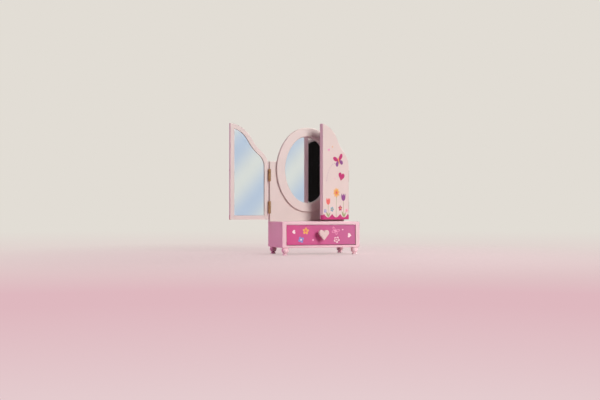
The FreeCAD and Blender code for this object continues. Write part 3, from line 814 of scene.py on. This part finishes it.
# %% Scatter on the drawer
def scatter_on_drawer(face):
    put_shape(face, "white", heart(6.6), -48.6, 5.2, -84)
    put_flower(face, -27.4, 6.6, 5.6, 5, "yellow", "coral", 12)
    put_flower(face, -35.6, -7.6, 5.2, 4, "blue", "white", 28)
    put_shape(face, "blush", dot(1.7), -14.6, -8.2)
    put_butterfly(face, 24.6, 6.4, 0.72, "blush", "blush", "blush", -24, "ground")
    put_flower(face, 27.0, -8.0, 5.2, 5, "white", "white", -10)
    put_flower(face, 27.0, -8.0, 5.2 * 0.68, 5, "ground", "white", -10, layer=3)
    put_shape(face, "white", dot(1.0), 37.8, 8.6)
    put_shape(face, "white", heart(7.4), 50.2, -1.0, 84)


scatter_on_drawer(drawer_face)
press(drawer_face)

# %% [markdown]
# On the doors a trail of dots follows a butterfly. The dots repeat along a path, so a second tree sets
# discs along a curve at even steps. Placing each dot by hand would do for one trail, but the tree keeps
# the steps even when the path changes.

# %% The tree for a dotted trail
def trail_tree():
    group, tree, size, kept = tree_with_inputs("dotted_trail", {
        "Dots": "Int", "Radius": "Float", "Start": "Vector", "Middle": "Vector", "End": "Vector",
        "Ink": "Material",
    })
    path = tree.node("GeometryNodeCurveQuadraticBezier", {
        "Resolution": 32, "Start": size["Start"], "Middle": size["Middle"], "End": size["End"],
    })
    even = tree.node("GeometryNodeResampleCurve", {"Curve": path, "Count": size["Dots"]})
    outline = {"Vertices": 14, "Radius": size["Radius"]}
    disc = tree.node("GeometryNodeMeshCircle", outline, fill_type="NGON")
    dots = tree.node("GeometryNodeInstanceOnPoints", {"Points": even, "Instance": disc})
    end_tree(tree, dots, size["Ink"])
    return group, kept


trail_group, trail_inputs = trail_tree()
print("trail tree with", len(trail_group.nodes), "nodes")

# %% [markdown]
# Each door carries a small garden that grows out of the hem: tulips and daisies of different heights, with
# hearts, dots and the butterfly above them. Places are in millimetres from the lower corner at the free
# edge, so one drawing serves both doors, and the face carries it there the right way round.

# %% Gardens on the doors
def garden_on_door(face):
    foot = 1000 * (HEM_HEIGHT - SCALLOP_DEPTH)
    put_tulip(face, 13.0, foot, 27.0, 1.15, "coral")
    put_tulip(face, 53.5, foot, 34.0, 1.25, "violet", -1.2)
    put_stem(face, 33.5, foot, 40.0, 0.55)
    put_flower(face, 34.2, 46.0, 8.2, 8, "yellow", "coral", 10, 2)
    put_flower(face, 23.0, 17.5, 4.4, 5, "teal", "yellow", 0, 1)
    put_flower(face, 44.0, 19.5, 4.8, 5, "magenta", "yellow", 20, 1)
    put_flower(face, 61.0, 15.5, 3.6, 5, "blush", "yellow", -8, 1)
    put_flower(face, 5.6, 14.6, 3.2, 4, "blue", "white", 40, 1)
    put_butterfly(face, 40.0, 101.0, 1.32, "magenta", "violet", "yellow", 18)
    trail = {
        "Dots": 9, "Radius": 0.62, "Start": (9, 66, 0), "Middle": (14, 92, 0), "End": (29, 96, 0),
        "Ink": inks["violet"],
    }
    print_on(face, "violet", grown(trail_group, trail_inputs, trail), 0, 0)
    put_shape(face, "magenta", heart(16.0), 47.0, 73.0, -12)
    put_shape(face, "blush", heart(5.4), 15.0, 118.0, 14)
    put_shape(face, "yellow", dot(1.3), 24.0, 124.0)
    put_shape(face, "blush", dot(1.0), 30.5, 70.0)


for face in door_faces.values():
    garden_on_door(face)
    press(face)

# %% [markdown]
# Screws repeat too. In CAD each is a plain head on a shank. Here a tree gives them their cross recess: the
# head is a cone, two crossed bars are taken out of it, and a copy goes to every point, turned to look
# along the given direction. A bump could fake the cross, but it would vanish in the exported mesh.

# %% The screw tree
SCREW_SIZES = ("Head radius", "Neck radius", "Head height", "Shank radius", "Shank length")
CROSS_LENGTH, CROSS_WIDTH, CROSS_DEPTH = 1.25, 0.26, 1.1  # as shares of the head's radius and height


def screw_tree():
    group, tree, size, kept = tree_with_inputs("cross_head_screws", {
        "Points": "Geometry", "Looks": "Vector", "Metal": "Material", **dict.fromkeys(SCREW_SIZES, "Float"),
    })
    radius, height, length = size["Head radius"], size["Head height"], size["Shank length"]
    head = tree.node("GeometryNodeMeshCone", {
        "Vertices": 28, "Radius Top": radius, "Radius Bottom": size["Neck radius"], "Depth": height,
    })
    head = tree.node("GeometryNodeTransform", {"Geometry": head, "Translation": tree.vector(Z=0 - height)})
    long_side, short_side, depth = radius * CROSS_LENGTH, radius * CROSS_WIDTH, height * CROSS_DEPTH
    bars = []
    for x, y in ((long_side, short_side), (short_side, long_side)):
        bars.append(tree.node("GeometryNodeMeshCube", {"Size": tree.vector(X=x, Y=y, Z=depth)}))
    cut = tree.node("GeometryNodeMeshBoolean", {"Mesh 1": head, "Mesh 2": bars}, operation="DIFFERENCE")
    shank = tree.node("GeometryNodeMeshCylinder", {
        "Vertices": 20, "Radius": size["Shank radius"], "Depth": length,
    })
    middle = tree.vector(Z=0 - height - length * 0.5)
    shank = tree.node("GeometryNodeTransform", {"Geometry": shank, "Translation": middle})
    screw = tree.node("GeometryNodeJoinGeometry", {"Geometry": [cut, shank]})
    turn = tree.node("FunctionNodeAlignRotationToVector", {"Vector": size["Looks"]}, axis="Z")
    spots = tree.node("GeometryNodeMeshToPoints", {"Mesh": size["Points"]})
    screws = tree.node("GeometryNodeInstanceOnPoints", {
        "Points": spots, "Instance": screw, "Rotation": turn,
    })
    end_tree(tree, screws, size["Metal"])
    return group, kept


screw_group, screw_inputs = screw_tree()
print("screw tree with", len(screw_group.nodes), "nodes")

# %% [markdown]
# The places come from the CAD screws themselves, so nothing is measured twice. A CAD node holds several
# screws in one mesh: its corners are sorted into screws by how far apart they lie across the shank, and
# the middle of a screw's outer end is where its new head goes. The new screws replace the plain ones.

# %% Cross-headed screws in place of the plain ones
SCREW_SPAN = 0.007  # corners closer together than this belong to one screw


def screw_ends(name, looks):
    """The middle of each CAD screw's head, on the side that it looks to."""
    screws = []
    for vertex in nodes[name].data.vertices:
        flat = vertex.co - looks * vertex.co.dot(looks)
        screw = next((s for s in screws if (s["flat"][0] - flat).length < SCREW_SPAN), None)
        if screw is None:
            screw = {"flat": [], "along": []}
            screws.append(screw)
        screw["flat"].append(flat)
        screw["along"].append(vertex.co.dot(looks))
    ends = []
    for screw in screws:
        low, high = box_of(screw["flat"])
        ends.append((low + high) / 2 + looks * max(screw["along"]))
    return ends


def dress_screws(name, body, looks, metal, sizes):
    ends = screw_ends(name, looks)
    start = bpy.data.meshes.new(f"{name}_points")
    start.from_pydata(ends, [], [])
    values = {"Looks": looks, "Metal": metal, **{k: v * MM for k, v in zip(SCREW_SIZES, sizes)}}
    piece = placed(f"{name}_cross_headed", grown(screw_group, screw_inputs, values, start))
    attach(piece, body)
    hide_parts(name)
    return len(ends)


HINGE_SCREW = (1.4, 0.9, 0.6, 0.8, 5.4)
PAN_SCREW = (2.6, 2.4, 1.8, 1.5, 17.0)
KNOB_SCREW = (3.0, 2.7, 2.0, 1.5, 12.0)
count = dress_screws("knob_screw", "drawer", -FORWARD, zinc, KNOB_SCREW)
count += dress_screws("panel_screws", "case", -UP, zinc, PAN_SCREW)
for side, door in doors.items():
    looks = RIGHT * -door.hand
    count += dress_screws(f"{side}_panel_hinge_screws", "case", looks, brass, HINGE_SCREW)
    turned = door.to_rest.to_3x3() @ looks
    count += dress_screws(f"{side}_door_hinge_screws", f"{side}_door", turned, brass, HINGE_SCREW)
print("cross-headed screws:", count)

# %% [markdown]
# The stage is a pale floor that fades out with distance, so no horizon line shows. One could build a
# curved backdrop, but it would hide the back of the object when the camera goes round. To the camera the
# floor is a thin veil over the background, which keeps the object's shadow but makes it light.

# %% Floor
FLOOR_TONE = srgb(232, 203, 210)
FLOOR_VEIL = 0.28  # how much of the floor the camera sees
FADE_FROM, FADE_OVER = 0.02, 0.4  # where the floor begins to fade, and over what, in square metres


def seen_directly(tree):
    """One for what the camera sees, also in a mirror or through glass, and zero for light on its way."""
    rays = tree.node("ShaderNodeLightPath")
    kinds = ("Camera", "Glossy", "Transmission")
    camera, glossy, through = (rays.other_output(f"Is {kind} Ray") for kind in kinds)
    scattered = rays.other_output("Diffuse Depth").clamped()
    return (camera + glossy + through).clamped() * (1 - scattered)


def floor_disc(radius, corners=64):
    mesh = bpy.data.meshes.new("floor")
    rim = [(x, y, 0) for x, y in dot(radius, corners)]
    mesh.from_pydata(rim, [], [tuple(range(corners))])
    finish = Finish("floor_paper", Base_Color=FLOOR_TONE, Roughness=0.8, Specular_IOR_Level=0.1)
    x, y, _ = finish.axes()
    near = 1 - (x * x + y * y).above(FADE_FROM, 1 / FADE_OVER)
    cleared = seen_directly(finish) * (1 - near * FLOOR_VEIL)
    finish.shown_where(near * (1 - cleared))
    mesh.materials.append(finish.material)
    floor = placed("floor", mesh)
    return floor


floor = floor_disc(1.0)
print("floor with", len(floor.data.vertices), "corners")

# %% [markdown]
# The world is two lights in one. The camera and the mirrors see a background that is cream above, rose
# just under the horizon and paler below, and everything else gets only a weak pinkish light. One world for
# both would either flood the shadows or leave the background dark.

# %% Background
CREAM = srgb(226, 221, 213)
ROSE = srgb(223, 184, 191)
PALE_ROSE = srgb(234, 222, 221)
# How far up a direction points, from minus one to one, where a tone begins, and how fast it comes in.
CREAM_FROM, CREAM_GAIN = -0.0867, 15
PALE_FROM, PALE_GAIN = 0.1, 5  # this one is measured downwards


def studio_world(fill, strength):
    world = bpy.data.worlds.new("studio")
    world.use_nodes = True
    world.node_tree.nodes.clear()
    tree = Tree(world.node_tree)
    direction = tree.node("ShaderNodeTexCoord", output="Generated")
    up = tree.node("ShaderNodeSeparateXYZ", {"Vector": direction}).other_output("Z")
    tone = tree.mix(up.above(CREAM_FROM, CREAM_GAIN), ROSE, CREAM)
    tone = tree.mix((0 - up).above(PALE_FROM, PALE_GAIN), tone, PALE_ROSE)
    shown = tree.node("ShaderNodeBackground", {"Color": tone, "Strength": 1.0})
    lit = tree.node("ShaderNodeBackground", {"Color": fill, "Strength": strength})
    both = tree.node("ShaderNodeMixShader", {0: seen_directly(tree), 1: lit, 2: shown})
    tree.node("ShaderNodeOutputWorld", {"Surface": both})
    bpy.context.scene.world = world


studio_world(fill=srgb(240, 140, 200), strength=0.06)
print("world:", bpy.context.scene.world.name)

# %% [markdown]
# Light comes from a soft lamp in front, a little to the right, so that shadows fall to the left. A weak
# lamp overhead lights the tops and the floor. A lilac one stands far to the left and a little behind, so
# that it colours the shaded sides but leaves the gap behind the half-open door dark. One more, behind and
# to the right, keeps the back from going dark when the camera goes round. One large lamp would be simpler,
# but then every side would have the same tone.

# %% Lamps
MIDDLE = Vector((0, 0, 0.110))  # halfway up the object
WARM_WHITE = srgb(255, 250, 250)


def lamp(name, azimuth, elevation, distance, size, power, colour):
    """A square lamp that looks at the object. Azimuth 0 is in front, and positive is to the right."""
    light = bpy.data.lights.new(name, "AREA")
    light.size = size
    light.energy = power
    light.color = colour[:3]
    thing = placed(name, light)
    a, e = math.radians(azimuth), math.radians(elevation)
    away = Vector((math.sin(a) * math.cos(e), -math.cos(a) * math.cos(e), math.sin(e)))
    thing.location = MIDDLE + away * distance
    thing.rotation_euler = away.to_track_quat("Z", "Y").to_euler()


lamp("key_lamp", azimuth=16, elevation=20, distance=1.4, size=0.6, power=16.2, colour=srgb(250, 252, 250))
lamp("top_lamp", azimuth=100, elevation=72, distance=1.2, size=0.8, power=7.8, colour=WARM_WHITE)
lamp("side_lamp", azimuth=-100, elevation=6, distance=1.2, size=0.4, power=4.4, colour=srgb(238, 136, 218))
lamp("back_lamp", azimuth=130, elevation=24, distance=1.4, size=0.8, power=8.0, colour=WARM_WHITE)
print("lamps:", ", ".join(light.name for light in bpy.data.lights))

# %% [markdown]
# A mirror shows what stands in front of it, so the studio needs something there. A pale card with soft
# diagonal bands of blue and white fills the mirrors. A small dark card to the left gives the deep tone
# where the oval mirror shows the half-open door's own mirror. Only reflections see the cards, and the dark
# one waits for the second reflection, so that it never stands as a black patch in a single mirror.

# %% Cards that only the mirrors see
BLACK, DEEP_TONE = srgb(0, 0, 0), srgb(22, 18, 17)
BAND_PERIOD, BAND_SHIFT, BAND_TURN = 0.106, 0.086, math.radians(42)
BAND_BLUE, BAND_WHITE = srgb(197, 210, 228), srgb(232, 233, 227)
STEP_AT, STEP_OVER = 0.100, 0.022  # where the bands step by half a period, between two mirrors' views


def card(name, finish, left, right, low, high):
    """An upright card between two places on the floor plan."""
    mesh = bpy.data.meshes.new(name)
    mesh.from_pydata([(*left, low), (*right, low), (*right, high), (*left, high)], [], [(0, 1, 2, 3)])
    mesh.materials.append(finish.material)
    thing = placed(name, mesh)
    for rays in ("camera", "diffuse", "shadow", "transmission"):
        setattr(thing, f"visible_{rays}", False)


def glowing(name, earlier_mirrors):
    """A finish seen only after more mirrors than these have passed it on, and clear otherwise."""
    finish = Finish(name, Base_Color=BLACK, Specular_IOR_Level=0.0, Emission_Strength=1.0)
    mirrors = finish.node("ShaderNodeLightPath").other_output("Glossy Depth")
    finish.shown_where((mirrors - earlier_mirrors).clamped() * seen_directly(finish))
    return finish


def banded(finish):
    x, _, z = finish.axes()
    step = x.above(STEP_AT, 1 / STEP_OVER) * (BAND_PERIOD / 2)
    across = x * math.cos(BAND_TURN) - z * math.sin(BAND_TURN) + BAND_SHIFT + step
    band = (across * (2 * math.pi / BAND_PERIOD)).sine() * 0.5 + 0.5
    return finish.mix(band, BAND_BLUE, BAND_WHITE)


bright = glowing("bright_card", earlier_mirrors=0)
bright.feed(bright.shader.inputs["Emission Color"], banded(bright))
card("bright_card", bright, left=(-0.5, -0.45), right=(0.7, -0.45), low=-0.02, high=0.34)
dark = glowing("dark_card", earlier_mirrors=1)
dark.feed(dark.shader.inputs["Emission Color"], DEEP_TONE)
card("dark_card", dark, left=(-0.36, -0.37), right=(-0.24, -0.40), low=0.02, high=0.26)
print("cards: bright and dark")

# %% [markdown]
# The camera stands well back with a long lens, a little to the left of the front and just above the level
# of the case. Near and with a short lens the doors would splay. It is aimed slightly off the object, so
# that the object sits in the picture as it does in the photograph, without any lens shift.

# %% Camera
CAMERA_YAW, CAMERA_RISE, CAMERA_DISTANCE = 19.8, -1.5, 1.52
PICTURE_WIDTH, PIXELS_PER_METRE, SENSOR_WIDTH = 600, 590.3, 36.0
PICTURE_MIDDLE = (300, 200)
SEEN_AT = (313.4, 188.9)  # where the object's middle lies in the picture

yaw, rise = math.radians(CAMERA_YAW), math.radians(CAMERA_RISE)
back = Vector((-math.sin(yaw) * math.cos(rise), -math.cos(yaw) * math.cos(rise), math.sin(rise)))
right = Vector((math.cos(yaw), -math.sin(yaw), 0))
up = back.cross(right)
across = (PICTURE_MIDDLE[0] - SEEN_AT[0]) / PIXELS_PER_METRE
above = (SEEN_AT[1] - PICTURE_MIDDLE[1]) / PIXELS_PER_METRE
aim = MIDDLE + right * across + up * above

lens = bpy.data.cameras.new("camera")
lens.sensor_width = SENSOR_WIDTH
lens.lens = SENSOR_WIDTH * PIXELS_PER_METRE * CAMERA_DISTANCE / PICTURE_WIDTH
camera = placed("camera", lens)
camera.location = MIDDLE + back * CAMERA_DISTANCE
camera.rotation_euler = (aim - camera.location).to_track_quat("-Z", "Y").to_euler()
bpy.context.scene.camera = camera
bpy.context.scene.view_settings.view_transform = "Standard"
print("lens of", round(lens.lens, 1), "mm at", CAMERA_DISTANCE, "m")
